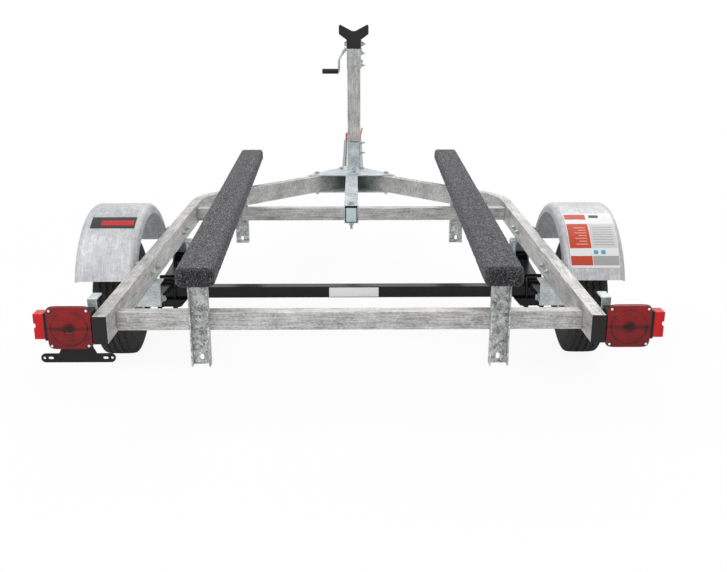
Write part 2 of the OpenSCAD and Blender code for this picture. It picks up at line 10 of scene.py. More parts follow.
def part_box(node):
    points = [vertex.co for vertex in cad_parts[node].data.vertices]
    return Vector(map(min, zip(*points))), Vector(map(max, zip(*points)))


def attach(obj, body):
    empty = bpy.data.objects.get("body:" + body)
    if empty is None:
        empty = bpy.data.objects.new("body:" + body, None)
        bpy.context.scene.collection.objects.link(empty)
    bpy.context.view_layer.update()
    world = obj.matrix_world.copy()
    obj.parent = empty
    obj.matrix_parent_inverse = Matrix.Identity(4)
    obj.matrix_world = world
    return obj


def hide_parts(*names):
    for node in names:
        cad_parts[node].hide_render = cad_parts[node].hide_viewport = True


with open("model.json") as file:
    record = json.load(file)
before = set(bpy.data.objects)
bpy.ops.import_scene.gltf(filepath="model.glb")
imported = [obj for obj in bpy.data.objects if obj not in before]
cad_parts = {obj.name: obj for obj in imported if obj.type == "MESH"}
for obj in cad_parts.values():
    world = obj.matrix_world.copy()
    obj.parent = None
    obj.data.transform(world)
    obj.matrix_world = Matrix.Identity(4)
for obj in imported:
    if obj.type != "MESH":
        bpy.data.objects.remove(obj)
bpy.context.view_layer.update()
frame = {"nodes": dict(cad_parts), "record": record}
NODES = frame["nodes"]
BODY_OF = {n: body for body, names in frame["record"]["behaviour"]["bodies"].items() for n in names}
SLOT_OF = {s["node"]: s["material_slot"] for s in frame["record"]["subparts"]}
SIDES = {"left": -1, "right": 1}
MM = 0.001


def low_of(node):
    return Vector(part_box(node)[0])


def high_of(node):
    return Vector(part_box(node)[1])


def middle_of(node):
    return (low_of(node) + high_of(node)) / 2


# ---- Camera, light and floor ----

def make_camera():
    data = bpy.data.cameras.new("camera")
    data.lens = 44.2
    data.sensor_width = 36
    camera = bpy.data.objects.new("camera", data)
    camera.location = (0.0125, -4.0675, 1.168)
    camera.rotation_euler = (math.radians(73), 0, math.radians(-0.6))
    bpy.context.scene.collection.objects.link(camera)
    bpy.context.scene.camera = camera


def area_light(name, place, aim, size, power):
    data = bpy.data.lights.new(name, "AREA")
    data.size = size
    data.energy = power
    lamp = bpy.data.objects.new(name, data)
    lamp.location = place
    lamp.rotation_euler = (Vector(aim) - Vector(place)).to_track_quat("-Z", "Y").to_euler()
    bpy.context.scene.collection.objects.link(lamp)


def put(tree, kind, settings=None, values=None):
    """Adds a node; settings are its properties, values its inputs, and a socket among them is linked."""
    node = tree.nodes.new(kind)
    for key, value in (settings or {}).items():
        setattr(node, key, value)
    for key, value in (values or {}).items():
        for one in value if isinstance(value, list) else [value]:
            if isinstance(one, bpy.types.NodeSocket):
                tree.links.new(one, node.inputs[key])
            else:
                node.inputs[key].default_value = one
    return node


def make_world(strength):
    """Even light all round, and plain white where the backdrop itself is seen or mirrored."""
    world = bpy.data.worlds.new("studio")
    world.use_nodes = True
    bpy.context.scene.world = world
    tree = world.node_tree
    tree.nodes.clear()
    rays = put(tree, "ShaderNodeLightPath").outputs
    seen = rays["Is Camera Ray"]
    for ray in ("Is Glossy Ray", "Is Transmission Ray"):
        seen = put(tree, "ShaderNodeMath", {"operation": "MAXIMUM"}, {0: seen, 1: rays[ray]}).outputs[0]
    lit, shown = (put(tree, "ShaderNodeBackground", None, {"Color": (1, 1, 1, 1), "Strength": power}).outputs[0]
                  for power in (strength, 1.0))
    mixed = put(tree, "ShaderNodeMixShader", None, {0: seen, 1: lit, 2: shown}).outputs[0]
    put(tree, "ShaderNodeOutputWorld", None, {0: mixed})


def make_floor():
    """Ground with a faint shadow near the trailer, which fades to the backdrop's white."""
    bpy.ops.mesh.primitive_plane_add(size=60, location=(0, 0, 0))
    floor = bpy.context.object
    floor.name = "floor"
    material = bpy.data.materials.new("studio_floor")
    material.use_nodes = True
    tree = material.node_tree
    tree.nodes.clear()
    matt = put(tree, "ShaderNodeBsdfDiffuse", None, {"Color": (0.88, 0.88, 0.88, 1)}).outputs[0]
    glow = put(tree, "ShaderNodeEmission", None, {"Strength": 1.0}).outputs[0]
    place = put(tree, "ShaderNodeNewGeometry").outputs["Position"]
    away = put(tree, "ShaderNodeVectorMath", {"operation": "LENGTH"}, {0: place}).outputs["Value"]
    fade = put(tree, "ShaderNodeMapRange", None, {"Value": away, "From Min": 0.8, "From Max": 3.2,
                                                  "To Min": 0.9, "To Max": 1.0}).outputs["Result"]
    seen = put(tree, "ShaderNodeLightPath").outputs["Is Camera Ray"]
    share = put(tree, "ShaderNodeMath", {"operation": "MULTIPLY"}, {0: seen, 1: fade}).outputs[0]
    mixed = put(tree, "ShaderNodeMixShader", None, {0: share, 1: matt, 2: glow}).outputs[0]
    put(tree, "ShaderNodeOutputMaterial", None, {0: mixed})
    floor.data.materials.append(material)


bpy.context.scene.view_settings.view_transform = "Standard"
make_camera()
make_world(0.62)
make_floor()
area_light("key", (-2.5, -3.5, 4.5), (0, 0, 0.3), 3.0, 105)
area_light("top", (1.5, 1.5, 4.0), (0, 0, 0.3), 4.0, 90)


# ---- Shader expressions ----

class Wire:
    """A socket; arithmetic on it adds Math nodes to its material."""

    def __init__(self, paint, socket):
        self.paint = paint
        self.socket = socket

    def math(self, operation, *values):
        return self.paint.add("ShaderNodeMath", {"operation": operation}, dict(enumerate(values)))

    def __add__(self, other):
        return self.math("ADD", self, other)

    def __sub__(self, other):
        return self.math("SUBTRACT", self, other)

    def __rsub__(self, other):
        return self.math("SUBTRACT", other, self)

    def __mul__(self, other):
        return self.math("MULTIPLY", self, other)

    def __truediv__(self, other):
        return self.math("DIVIDE", self, other)

    __radd__ = __add__
    __rmul__ = __mul__

    def size(self):
        return self.math("ABSOLUTE", self)

    def wave(self):
        return self.math("SINE", self)

    def root(self):
        return self.math("SQRT", self)

    def clamped(self):
        return self.math("MINIMUM", self.math("MAXIMUM", self, 0.0), 1.0)


class Paint:
    """A material built around one Principled shader."""

    def __init__(self, name, **fixed):
        self.material = bpy.data.materials.new(name)
        self.material.use_nodes = True
        self.tree = self.material.node_tree
        self.shader = self.tree.nodes["Principled BSDF"]
        self.coordinates = put(self.tree, "ShaderNodeTexCoord").outputs["Object"]
        for socket, value in fixed.items():
            self.shader.inputs[socket.replace("_", " ")].default_value = value

    def add(self, kind, settings=None, values=None, output=0):
        values = {key: value.socket if isinstance(value, Wire) else value for key, value in (values or {}).items()}
        return Wire(self, put(self.tree, kind, settings, values).outputs[output])

    def place(self, stretch=(1, 1, 1)):
        return self.add("ShaderNodeMapping", None, {"Vector": self.coordinates, "Scale": stretch})

    def axis(self, index):
        return self.add("ShaderNodeSeparateXYZ", None, {0: self.coordinates}, index)

    def noise(self, scale, detail=3.0, roughness=0.5, stretch=(1, 1, 1)):
        return self.add("ShaderNodeTexNoise", None, {"Vector": self.place(stretch), "Scale": scale,
                                                     "Detail": detail, "Roughness": roughness})

    def cells(self, scale, output):
        return self.add("ShaderNodeTexVoronoi", None, {"Vector": self.place(), "Scale": scale}, output)

    def ramp(self, value, stops):
        node = put(self.tree, "ShaderNodeValToRGB", None, {0: value.socket})
        elements = node.color_ramp.elements
        while len(elements) < len(stops):
            elements.new(0.5)
        for element, (place, shade) in zip(elements, stops):
            element.position = place
            element.color = (*shade, 1)
        return Wire(self, node.outputs[0])

    def mix(self, factor, low, high):
        """A blend of two plain colours."""
        return self.add("ShaderNodeMix", {"data_type": "RGBA"}, {0: factor, 6: (*low, 1), 7: (*high, 1)}, 2)

    def into(self, socket, wire):
        self.tree.links.new(wire.socket, self.shader.inputs[socket])

    def colour(self, wire):
        self.into("Base Color", wire)

    def roughness(self, wire):
        self.into("Roughness", wire)

    def bump(self, height, distance, strength):
        self.into("Normal", self.add("ShaderNodeBump", None, {"Height": height, "Distance": distance,
                                                              "Strength": strength}, "Normal"))


def grey(value, tint=(1, 1, 1)):
    return tuple(value * t for t in tint)


# ---- Materials ----

def long_grain(axis, share):
    """Stretch that draws a pattern out along one axis."""
    return tuple(share if i == axis else 1.0 for i in range(3))


def mill_aluminium(name, axis):
    """Extruded tube: fine streaks along its length, darker handling marks, uneven dull sheen."""
    paint = Paint(name, Metallic=0.6)
    streaks = paint.noise(260, 3, 0.6, long_grain(axis, 0.04))
    cloud = paint.noise(11, 5, 0.7)
    stains = paint.noise(46, 5, 0.7, long_grain(axis, 0.35))
    specks = paint.noise(250, 3, 0.7, long_grain(axis, 0.45))
    paint.colour(paint.ramp(streaks * 0.3 + cloud * 0.2 + stains * 0.2 + specks * 0.3, [
        (0.36, (0.13, 0.127, 0.12)), (0.45, (0.36, 0.355, 0.345)), (0.52, (0.56, 0.555, 0.54)),
        (0.62, (0.82, 0.81, 0.79))]))
    paint.roughness(0.26 + 0.3 * stains + 0.12 * cloud)
    paint.bump(streaks + 0.4 * stains + 0.3 * specks, 0.0005, 0.45)
    return paint.material


def galvanised_steel():
    """Hot-dipped zinc: flat crystals of slightly different greys, with white bloom."""
    paint = Paint("galvanised", Metallic=0.62)
    crystals = paint.cells(130, "Color")
    shade = paint.add("ShaderNodeSeparateColor", None, {0: crystals})
    cloud = paint.noise(16, 5, 0.68)
    fine = paint.noise(270, 3, 0.75)
    value = shade * 0.16 + cloud * 0.3 + fine * 0.54
    paint.colour(paint.ramp(value, [(0.36, (0.1, 0.105, 0.105)), (0.44, (0.36, 0.37, 0.37)),
                                    (0.52, (0.54, 0.55, 0.545)), (0.62, (0.85, 0.86, 0.85))]))
    paint.roughness(0.28 + 0.24 * cloud + 0.12 * shade)
    paint.bump(cloud + 0.4 * fine, 0.0007, 0.4)
    return paint.material


def pale_zinc():
    """Smooth plated steel with a bluish cast and a fine grain."""
    paint = Paint("pale_zinc", Metallic=0.45)
    cloud = paint.noise(18, 5, 0.65)
    fine = paint.noise(280, 3, 0.7)
    paint.colour(paint.ramp(cloud * 0.45 + fine * 0.55, [
        (0.38, (0.28, 0.32, 0.335)), (0.48, (0.5, 0.55, 0.57)), (0.6, (0.74, 0.79, 0.81))]))
    paint.roughness(0.3 + 0.22 * cloud)
    paint.bump(fine + 0.5 * cloud, 0.0004, 0.35)
    return paint.material


def fender_sheet():
    """Pale rolled sheet: soft mottling and faint drawn lines round the curve."""
    paint = Paint("fender_metal", Metallic=0.3, Specular_IOR_Level=0.35)
    mottle = paint.noise(60, 5, 0.7)
    broad = paint.noise(6, 3, 0.6)
    lines = paint.noise(300, 2, 0.5, (1.0, 0.05, 0.05))
    value = mottle * 0.42 + broad * 0.32 + lines * 0.28
    paint.colour(paint.ramp(value, [(0.38, (0.35, 0.36, 0.375)), (0.5, (0.5, 0.51, 0.525)),
                                    (0.62, (0.68, 0.69, 0.7))]))
    paint.roughness(0.38 + 0.2 * mottle + 0.12 * lines)
    paint.bump(mottle * 0.5 + lines * 0.3, 0.0003, 0.25)
    return paint.material


def zinc_fastener():
    paint = Paint("bright_zinc", Metallic=0.8)
    mottle = paint.noise(160, 4, 0.6)
    paint.colour(paint.ramp(mottle, [(0.3, (0.26, 0.29, 0.3)), (0.7, (0.62, 0.65, 0.66))]))
    paint.roughness(0.24 + 0.25 * mottle)
    return paint.material


def speckled(name, low, high, scale, rough_low, rough_high, bump, metallic=0.0, coat=0.0, shine=0.25):
    """A dark moulded or painted finish with fine variation of tone, sheen and surface."""
    paint = Paint(name, Metallic=metallic, Coat_Weight=coat, Specular_IOR_Level=shine)
    grain = paint.noise(scale, 4, 0.6)
    haze = paint.noise(scale / 22, 3, 0.55)
    paint.colour(paint.mix(grain * 0.5 + haze * 0.5, low, high))
    paint.roughness(rough_low + (rough_high - rough_low) * (grain * 0.4 + haze * 0.6))
    paint.bump(grain, bump, 0.4)
    return paint.material


def bunk_carpet(name, share):
    """Needled marine carpet: tangled pile in dark and pale greys; a share below 1 makes it darker, a copy that paints
    shade on the bunks' rear ends.
    """
    paint = Paint(name, Roughness=0.95, Specular_IOR_Level=0.1, Sheen_Weight=0.12, Sheen_Roughness=0.6)
    tufts = paint.noise(300, 3, 0.7)
    clumps = paint.noise(120, 4, 0.7)
    flecks = paint.noise(620, 2, 0.6)
    value = tufts * 0.55 + clumps * 0.2 + flecks * 0.25
    paint.colour(paint.ramp(value, [(place, grey(tone * share, (1, 1, blue))) for place, tone, blue in (
        (0.4, 0.006, 1.08), (0.48, 0.04, 1.06), (0.54, 0.17, 1.08), (0.62, 0.52, 1.07))]))
    paint.bump(tufts + 0.6 * clumps, 0.003, 1.0)
    return paint.material


def tyre_rubber():
    paint = Paint("tyre", Specular_IOR_Level=0.35)
    dust = paint.noise(60, 5, 0.65)
    grain = paint.noise(700, 2, 0.5)
    paint.colour(paint.ramp(dust * 0.8 + grain * 0.2, [(0.35, grey(0.011)), (0.7, grey(0.04, (1, 0.98, 0.94)))]))
    paint.roughness(0.62 + 0.25 * dust)
    paint.bump(grain, 0.0002, 0.4)
    return paint.material


def lens_plastic(deep, bright):
    """Deep red lens: a dark reflector in the middle, a painted shadow line across it, a painted highlight that
    lightens it towards the top, and fine rings.
    """
    paint = Paint("red_lens", Coat_Weight=0.12, Coat_Roughness=0.06, Specular_IOR_Level=0.25)
    low, high = low_of("right_light_lens"), high_of("right_light_lens")
    across = paint.axis(0).size() - (low.x + high.x) / 2
    height = paint.axis(2) - (low.z + high.z) / 2
    radius = (across * across + height * height).root()
    half = (high.x - low.x) / 2
    cloud = paint.noise(38, 4, 0.65)
    core = (1 - radius / (0.36 * half)).clamped()
    rim = (1 - (radius - 0.8 * half).size() / (0.05 * half)).clamped()
    band = (1 - (height + 0.01 * half).size() / (0.13 * half)).clamped() * (1 - core)
    rings = (radius * 1500).wave() * 0.05
    # core is the dark reflector and rim darkens the raised ring; band is painted shade across the middle, and height
    # * 3.0 is a painted highlight lightening the top
    glow = 0.62 + (cloud - 0.5) * 0.9 + rings - core * 0.85 - rim * 0.35 - band * 0.42 + height * 3.0
    paint.colour(paint.mix(glow.clamped(), deep, bright))
    paint.roughness(0.12 + 0.1 * cloud)
    paint.bump((radius * 1500).wave(), 0.0002, 0.3)
    return paint.material


def red_plastic(name, deep, bright, rough):
    """Moulded red plastic with a prism pattern that shows as small cells."""
    paint = Paint(name, Coat_Weight=0.1, Coat_Roughness=0.08, Specular_IOR_Level=0.22)
    prisms = paint.cells(260, "Distance")
    cloud = paint.noise(38, 4, 0.65)
    paint.colour(paint.mix(prisms * 0.5 + cloud * 2.4 - 0.95, deep, bright))
    paint.roughness(rough + 0.1 * cloud)
    paint.bump(prisms, 0.0004, 0.35)
    return paint.material


def flat_print(name, colour):
    """A printed film: nearly even colour with a soft satin sheen."""
    paint = Paint(name)
    scuff = paint.noise(120, 4, 0.6)
    paint.colour(paint.mix(scuff * 0.5, colour, tuple(min(1, c * 1.25 + 0.01) for c in colour)))
    paint.roughness(0.34 + 0.2 * scuff)
    return paint.material


def strap_webbing():
    """Woven polyester: ribs across the strap and a fine twill."""
    paint = Paint("strap_webbing", Roughness=0.8)
    ribs = (paint.axis(0) * 2600).wave()
    twill = paint.noise(800, 2, 0.5)
    paint.colour(paint.mix(ribs * 0.25 + twill * 0.6, grey(0.012), grey(0.07)))
    paint.bump(ribs + twill, 0.0004, 0.6)
    return paint.material


ALUMINIUM = {axis: mill_aluminium(f"aluminium_{'xyz'[axis]}", axis) for axis in range(3)}
GALVANISED = galvanised_steel()
PALE_ZINC = pale_zinc()
FENDER = fender_sheet()
ZINC = zinc_fastener()
BLACK_PAINT = speckled("black_steel", grey(0.003), grey(0.011), 220, 0.12, 0.3, 0.0002, 0.0, 0.12, 0.2)
BLACK_PLASTIC = speckled("black_plastic", grey(0.009), grey(0.024), 500, 0.42, 0.6, 0.0003)
BLACK_RUBBER = speckled("black_rubber", grey(0.013), grey(0.032), 300, 0.6, 0.78, 0.0005)
CARPET = bunk_carpet("carpet", 1.0)
# A darker copy of the carpet: painted shade for the bunks' rear end faces
SHADED_CARPET_END = bunk_carpet("carpet_end", 0.42)
TYRE = tyre_rubber()
LENS = lens_plastic((0.022, 0.002, 0.002), (0.36, 0.008, 0.01))
MARKER = red_plastic("red_marker", (0.5, 0.005, 0.009), (0.78, 0.012, 0.02), 0.25)
STRAP = strap_webbing()
BRASS = speckled("brass_pin", (0.35, 0.22, 0.07), (0.6, 0.42, 0.16), 300, 0.25, 0.5, 0.0002, 0.9, 0.0, 0.5)
PRINT_BLACK = flat_print("print_black", grey(0.012))
PRINT_RED = flat_print("print_red", (0.46, 0.008, 0.01))
PRINT_WHITE = flat_print("print_white", grey(0.78))
PRINT_GREY = flat_print("print_grey", grey(0.36))
PRINT_ORANGE = flat_print("print_orange", (0.5, 0.042, 0.011))
PRINT_PALE = flat_print("print_pale", grey(0.6))
END_CAP = flat_print("end_cap", (0.56, 0.68, 0.71))
PRINT_PINK = flat_print("print_pink", (0.78, 0.32, 0.24))
PRINT_BLUE = flat_print("print_blue", (0.08, 0.33, 0.52))

BY_SLOT = {"galvanised": GALVANISED, "fender_metal": FENDER, "black_steel": BLACK_PAINT,
           "black_plastic": BLACK_PLASTIC, "black_rubber": BLACK_RUBBER, "tyre": TYRE, "carpet": CARPET,
           "strap_webbing": STRAP, "red_lens": LENS, "red_marker": MARKER}
# The axis along which each aluminium tube was drawn, where it isn't X
GRAIN = {"left_rail": 1, "right_rail": 1, "winch_post": 2}
# Plated pieces with a smoother, bluish finish
PALE = {"tongue", "post_foot_bracket", "upper_corner_plate", "lower_corner_plate", "winch_frame",
        "left_hangers", "right_hangers", "left_light_bracket", "right_light_bracket", "winch_crank", "coupler"}


def finish_of(node):
    slot = SLOT_OF[node]
    if node in PALE:
        return PALE_ZINC
    return ALUMINIUM[GRAIN.get(node, 0)] if slot == "aluminium" else BY_SLOT[slot]


for node_name, cad_piece in NODES.items():
    cad_piece.data.materials.clear()
    cad_piece.data.materials.append(finish_of(node_name))


# ---- Making pieces ----

def add_piece(name, mesh, body, material, replaces=()):
    """Puts a finished mesh in the scene, riding on a body, with its material and the nodes it stands for."""
    piece = bpy.data.objects.new(name, mesh)
    bpy.context.scene.collection.objects.link(piece)
    mesh.materials.clear()
    mesh.materials.append(material)
    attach(piece, body)
    if replaces:
        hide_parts(*replaces)
    return piece


def built(name, build, angle, body, material, replaces=()):
    """A piece that a function draws into a bmesh, shaded smooth up to an angle."""
    mesh = mesh_of(name, build)
    smooth(mesh, angle)
    return add_piece(name, mesh, body, material, replaces)


def circle(count):
    """Evenly spaced angles round a full turn."""
    return [2 * math.pi * k / count for k in range(count)]


def skin(work, rings):
    """Quads between neighbouring closed rings of vertices."""
    for one, two in zip(rings, rings[1:]):
        for k, start in enumerate(one):
            following = (k + 1) % len(one)
            work.faces.new((start, two[k], two[following], one[following]))


def baked(piece):
    """The piece's mesh with its modifiers applied."""
    bpy.context.view_layer.update()
    graph = bpy.context.evaluated_depsgraph_get()
    return bpy.data.meshes.new_from_object(piece.evaluated_get(graph), depsgraph=graph)


def mesh_of(name, build):
    """A mesh filled by a function that draws into a bmesh, with doubles merged and normals outwards."""
    mesh = bpy.data.meshes.new(name)
    work = bmesh.new()
    build(work)
    bmesh.ops.remove_doubles(work, verts=work.verts, dist=1e-6)
    bmesh.ops.recalc_face_normals(work, faces=work.faces)
    work.to_mesh(mesh)
    work.free()
    return mesh


def smooth(mesh, angle):
    """Smooth shading, kept sharp where faces meet at more than the angle."""
    mesh.shade_smooth()
    mesh.set_sharp_from_angle(angle=math.radians(angle))


def joined_copy(node):
    """A copy of a node's mesh with its triangles joined into whole flat faces."""
    mesh = NODES[node].data.copy()
    work = bmesh.new()
    work.from_mesh(mesh)
    bmesh.ops.remove_doubles(work, verts=work.verts, dist=2e-5)
    bmesh.ops.dissolve_limit(work, angle_limit=math.radians(0.6), verts=work.verts, edges=work.edges)
    work.to_mesh(mesh)
    work.free()
    return mesh


def rounded(node, radius, segments=2, angle=40):
    """Replaces a node by the same shape with its sharp edges rounded."""
    mesh = joined_copy(node)
    draft = bpy.data.objects.new(node + "_draft", mesh)
    bpy.context.scene.collection.objects.link(draft)
    bevel = draft.modifiers.new("round", "BEVEL")
    bevel.width = radius
    bevel.segments = segments
    bevel.limit_method = "ANGLE"
    bevel.angle_limit = math.radians(angle)
    weigh = draft.modifiers.new("even", "WEIGHTED_NORMAL")
    weigh.keep_sharp = True
    mesh.shade_smooth()
    done = baked(draft)
    bpy.data.objects.remove(draft)
    return add_piece(node + "_rounded", done, BODY_OF[node], finish_of(node), (node,))


# Outside corner radius of each piece of stock, in millimetres
CORNERS = {
    "left_rail": 2.2, "right_rail": 2.2, "rear_cross_member": 2.0, "front_cross_member": 2.0,
    "winch_post": 3.0, "tongue": 6.0, "upper_corner_plate": 0.8, "lower_corner_plate": 0.8,
    "left_rail_cap": 2.5, "right_rail_cap": 2.5, "axle": 3.0, "post_foot_bracket": 1.0,
    "parking_leg": 3.0, "parking_foot": 1.5, "rear_left_bunk_bracket": 1.2,
    "rear_right_bunk_bracket": 1.2, "front_left_bunk_bracket": 1.2, "front_right_bunk_bracket": 1.2,
    "left_light_bracket": 0.9, "right_light_bracket": 0.9, "left_light_housing": 5.0,
    "right_light_housing": 5.0, "bow_stop": 3.5, "bow_stop_bracket": 0.8,
}
for stock, corner in CORNERS.items():
    rounded(stock, corner * MM, 3 if corner > 2 else 2)


# ---- Carpeted bunks ----

def block_axes(node):
    """Rear, bottom, left corner of a long block node and its edges across, along and up."""
    corners = [Vector(v.co) for v in NODES[node].data.vertices]
    middle_y = sum(c.y for c in corners) / len(corners)
    low_z = min(c.z for c in corners)
    under = sorted((c for c in corners if c.z < low_z + MM), key=lambda c: c.x)
    rear = [c for c in under if c.y < middle_y]
    front = [c for c in under if c.y > middle_y]
    up = Vector((0, 0, max(c.z for c in corners) - low_z))
    return rear[0], rear[-1] - rear[0], front[0] - rear[0], up


def rounded_rectangle(width, height, corner, step):
    """Points round a rectangle with rounded corners, evenly spaced, from its low left corner."""
    centres = [(width - corner, corner, -90), (width - corner, height - corner, 0),
               (corner, height - corner, 90), (corner, corner, 180)]
    arc = max(2, round(corner * math.pi / 2 / step))
    outline = []
    for x, z, start in centres:
        for i in range(arc + 1):
            angle = math.radians(start + 90 * i / arc)
            outline.append(Vector((x + corner * math.cos(angle), z + corner * math.sin(angle))))
    points = []
    for a, b in zip(outline, outline[1:] + outline[:1]):
        parts = max(1, round((b - a).length / step))
        points += [a.lerp(b, i / parts) for i in range(parts)]
    return points


def carpeted_bunk(side):
    """Plank wrapped in carpet: soft edges, a tufted pile, slightly drawn-in ends and painted shade on its rear end.
    """
    node = side + "_bunk"
    start, across, along, up = block_axes(node)
    width, length, height = across.length, along.length, up.length
    step, pile, nose, painted_shade_end = 3.6 * MM, 1.3 * MM, 30 * MM, 20 * MM
    ring = rounded_rectangle(width - 2 * pile, height - 2 * pile, 15 * MM, step)
    rings = round(length / step)
    middle = Vector((width / 2 - pile, height / 2 - pile))
    across_unit, along_unit = across.normalized(), along.normalized()

    def place(point, y):
        base = start + across_unit * (point.x + pile) + along_unit * y + Vector((0, 0, point.y + pile))
        away = point - middle
        out = (across_unit * away.x + Vector((0, 0, away.y))).normalized()
        tuft = noise.noise(base * 300) + 0.7 * noise.noise(base * 120)
        return base + out * pile * max(-1.6, min(0.95, tuft * 1.9))

    def tapered(point, nearest):
        """Draws a ring in towards the plank's end: the top rolls over, the sides and the bottom less."""
        if nearest >= nose:
            return point
        fall = 1 - math.sqrt(1 - (1 - nearest / nose) ** 2)
        x = middle.x + (point.x - middle.x) * (1 - 0.2 * fall)
        z = point.y - point.y * 0.42 * fall + 8 * MM * fall
        return Vector((x, z))

    def build(work):
        rows = []
        for i in range(rings + 1):
            y = length * i / rings
            rows.append([work.verts.new(place(tapered(p, min(y, length - y)), y)) for p in ring])
        skin(work, rows)
        cap = [tapered(p, 0) for p in ring]
        heart = sum(cap, Vector((0, 0))) / len(cap)
        for row, y in ((rows[0], 0), (rows[-1], length)):
            last = row
            for share in (0.84, 0.66, 0.48, 0.3, 0.15):
                inner = [work.verts.new(place(heart + (p - heart) * share, y)) for p in cap]
                skin(work, (last, inner))
                last = inner
            work.faces.new(last)

    mesh = mesh_of(node + "_carpet", build)
    mesh.shade_smooth()
    add_piece(node + "_carpet", mesh, BODY_OF[node], CARPET, (node,))
    mesh.materials.append(SHADED_CARPET_END)
    # Faces within this distance of the rear end take the darker carpet as painted shade
    for face in mesh.polygons:
        face.material_index = 1 if abs(face.center.y - start.y) < painted_shade_end else 0


# ---- Tyres ----

def zigzag(turns):
    """Triangle wave between -1 and 1."""
    return 4 * abs(turns - math.floor(turns + 0.5)) - 1


def tread_depth(x, angle, half, waves):
    """How deep the tread is cut at a distance x across it: three zigzag grooves and shoulder slots."""
    sway = 0.045 * half * zigzag(angle / (2 * math.pi) * waves)
    for groove in (-0.36, 0.0, 0.36):
        if abs(x - groove * half - sway) < 0.045 * half:
            return 1.0
    slot = (angle / (2 * math.pi) * waves) % 1.0
    return 0.8 if abs(x) > 0.66 * half and slot < 0.3 else 0.0


def ribbed_tyre(side):
    """Trailer tyre: zigzag ribs on a flat tread, slotted shoulders and rings moulded in the sidewalls."""
    node = side + "_tyre"
    low, high = low_of(node), high_of(node)
    centre = (low + high) / 2
    half, outside = (high.x - low.x) / 2, (high.z - low.z) / 2
    bead = 101.8 * MM
    wall = outside - bead
    waves, turns = 54, 432
    # The sidewall: shares of its height and of the tyre's half width
    profile = [(0, 0.70), (0.03, 0.76), (0.10, 0.80), (0.13, 0.76), (0.16, 0.84), (0.30, 0.955),
               (0.33, 0.985), (0.36, 0.975), (0.46, 1.0), (0.58, 0.99), (0.61, 1.0), (0.64, 0.965),
               (0.76, 0.92), (0.86, 0.86), (0.945, 0.80)]
    flat = 0.77
    crown = [flat - flat * 2 * i / 46 for i in range(47)]
    points = [(bead + rise * wall, x * half, False) for rise, x in profile]
    points += [(outside - 2.6 * MM * (x / flat) ** 4, x * half, True) for x in crown]
    points += [(bead + rise * wall, -x * half, False) for rise, x in reversed(profile)]

    def build(work):
        rows = []
        for angle in circle(turns):
            row = []
            for r, x, tread in points:
                reach = r - (4.5 * MM * tread_depth(x, angle, half, waves) if tread else 0)
                row.append(work.verts.new(centre + Vector((x, reach * math.cos(angle), reach * math.sin(angle)))))
            rows.append(row)
        skin(work, rows + rows[:1])

    built(node + "_ribbed", build, 32, BODY_OF[node], TYRE, (node,))


for side in SIDES:
    carpeted_bunk(side)
    ribbed_tyre(side)


# ---- Geometry Nodes: fasteners and chain ----

class Tree:
    """A Geometry Nodes group with named number, vector and material inputs."""

    KINDS = {"float": "NodeSocketFloat", "vector": "NodeSocketVector", "material": "NodeSocketMaterial"}

    def __init__(self, name, inputs):
        self.group = bpy.data.node_groups.new(name, "GeometryNodeTree")
        face = self.group.interface
        face.new_socket("Geometry", in_out="INPUT", socket_type="NodeSocketGeometry")
        self.names = {key: face.new_socket(key, in_out="INPUT", socket_type=self.KINDS[kind]).identifier
                      for key, kind in inputs.items()}
        face.new_socket("Geometry", in_out="OUTPUT", socket_type="NodeSocketGeometry")
        self.source = self.group.nodes.new("NodeGroupInput")

    def get(self, name):
        return self.source.outputs[name]

    def add(self, kind, settings=None, values=None, output=0):
        return put(self.group, kind, settings, values).outputs[output]

    def math(self, operation, *values):
        return self.add("ShaderNodeMath", {"operation": operation}, dict(enumerate(values)))

    def finish(self, instances):
        real = self.add("GeometryNodeRealizeInstances", None, {0: instances})
        dressed = self.add("GeometryNodeSetMaterial", None, {"Geometry": real, "Material": self.get("Material")})
        put(self.group, "NodeGroupOutput", None, {0: dressed})

    def grown(self, seed_mesh, values):
        """The mesh that the group makes from a seed mesh, with its inputs set by their identifiers."""
        draft = bpy.data.objects.new("draft", seed_mesh)
        bpy.context.scene.collection.objects.link(draft)
        modifier = draft.modifiers.new("grow", "NODES")
        modifier.node_group = self.group
        for key, value in values.items():
            modifier[self.names[key]] = value
        mesh = baked(draft)
        bpy.data.objects.remove(draft)
        return mesh


def fastener_tree():
    """A hexagon head or nut on a washer with its bolt's end showing, at each vertex of the seed mesh."""
    tree = Tree("fasteners", {"Across": "float", "Height": "float", "Washer": "float", "End": "float",
                              "Direction": "vector", "Material": "material"})
    across, height, end = tree.get("Across"), tree.get("Height"), tree.get("End")
    thickness = 1.6 * MM
    shapes = []
    for sides, radius, depth, start in (
            (6, tree.math("MULTIPLY", across, 1 / math.sqrt(3)), height, thickness),
            (24, tree.get("Washer"), thickness, 0.0),
            (14, tree.math("MULTIPLY", across, 0.31), tree.math("ADD", height, end), thickness)):
        shape = tree.add("GeometryNodeMeshCylinder", None,
                         {"Vertices": sides, "Radius": radius, "Depth": depth})
        rise = tree.math("ADD", tree.math("MULTIPLY", depth, 0.5), start)
        offset = tree.add("ShaderNodeCombineXYZ", None, {"Z": rise})
        shapes.append(tree.add("GeometryNodeTransform", None, {"Geometry": shape, "Translation": offset}))
    fastener = tree.add("GeometryNodeJoinGeometry", None, {0: shapes})
    turn = tree.add("FunctionNodeAlignRotationToVector", {"axis": "Z"}, {"Vector": tree.get("Direction")})
    tree.finish(tree.add("GeometryNodeInstanceOnPoints", None,
                         {"Points": tree.get("Geometry"), "Instance": fastener, "Rotation": turn}))
    return tree


